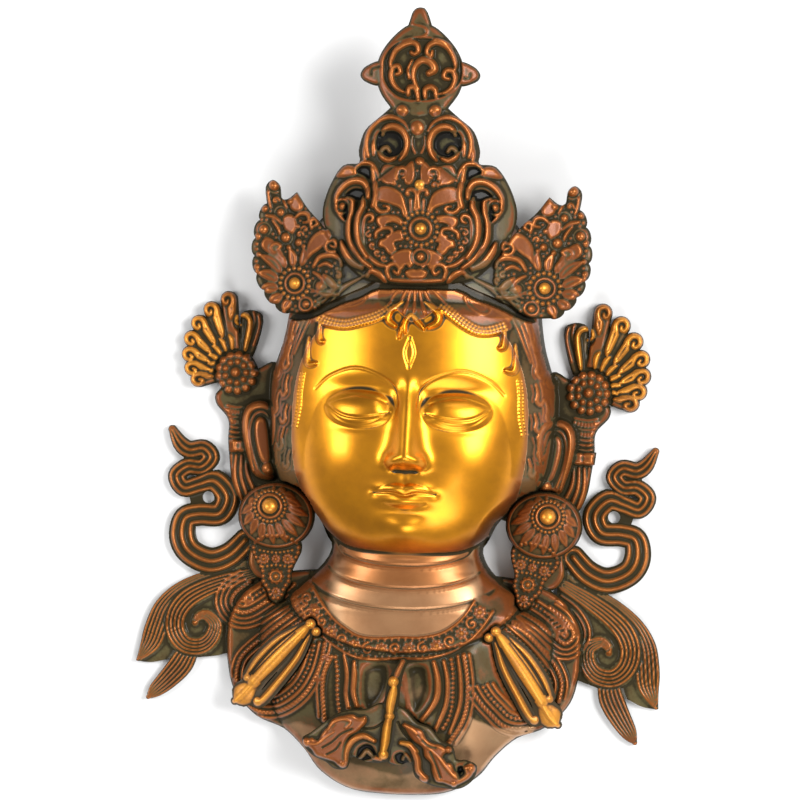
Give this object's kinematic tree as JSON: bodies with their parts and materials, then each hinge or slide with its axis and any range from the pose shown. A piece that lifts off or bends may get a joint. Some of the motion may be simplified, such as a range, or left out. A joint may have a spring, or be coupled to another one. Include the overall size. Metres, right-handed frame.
{
  "type": "tara mask",
  "caption": "Hollow cast brass wall mask of Tara: calm face, three-leaf crown with topknot, disc earrings, fan rosettes, scarf ends and a petalled collar with vajras.",
  "frame": {"origin": "middle of the plan box, on the plane that the mask's back rim lies on", "axes": "+X to the viewer's right, +Y toward the finial, +Z out of the face; the mask lies on its back"},
  "size_m": [0.3786, 0.56, 0.1052],
  "materials": {
    "dark_bronze": "dark brown patina with rubbed copper and gold highlights",
    "gilded_brass": "polished golden brass"
  },
  "bodies": {
    "root": {"mask_shell": "dark_bronze", "crown": "dark_bronze", "left_earring": "dark_bronze", "right_earring": "dark_bronze", "left_collar_vajra": "gilded_brass", "right_collar_vajra": "gilded_brass", "centre_vajra": "dark_bronze"}
  },
  "joints": []
}
